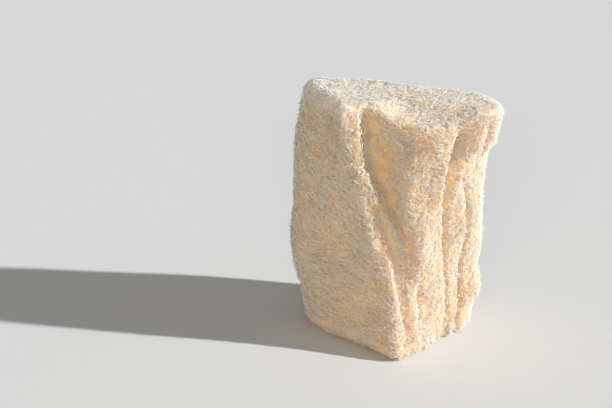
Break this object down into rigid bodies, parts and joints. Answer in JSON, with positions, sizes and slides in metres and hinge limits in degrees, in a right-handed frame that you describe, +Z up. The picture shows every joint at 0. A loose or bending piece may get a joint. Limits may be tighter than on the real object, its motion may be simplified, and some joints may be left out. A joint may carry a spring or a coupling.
{
  "type": "natural loofah sponge",
  "caption": "Natural loofah sponge, a dried gourd skeleton cut to a hand-long piece, folded at the front and standing on its cut end.",
  "frame": {"origin": "middle of the bounding box at the foot, on the surface that the sponge stands on", "axes": "+Z up along the sponge's length, +X to the right and -Y to the front as the folded side is seen"},
  "size_m": [0.1102, 0.0938, 0.14],
  "materials": {
    "dried_loofah_fibre": "dry, matt, pale cream plant fibre with golden gaps"
  },
  "bodies": {
    "root": {"loofah_sponge": "dried_loofah_fibre"}
  },
  "joints": []
}
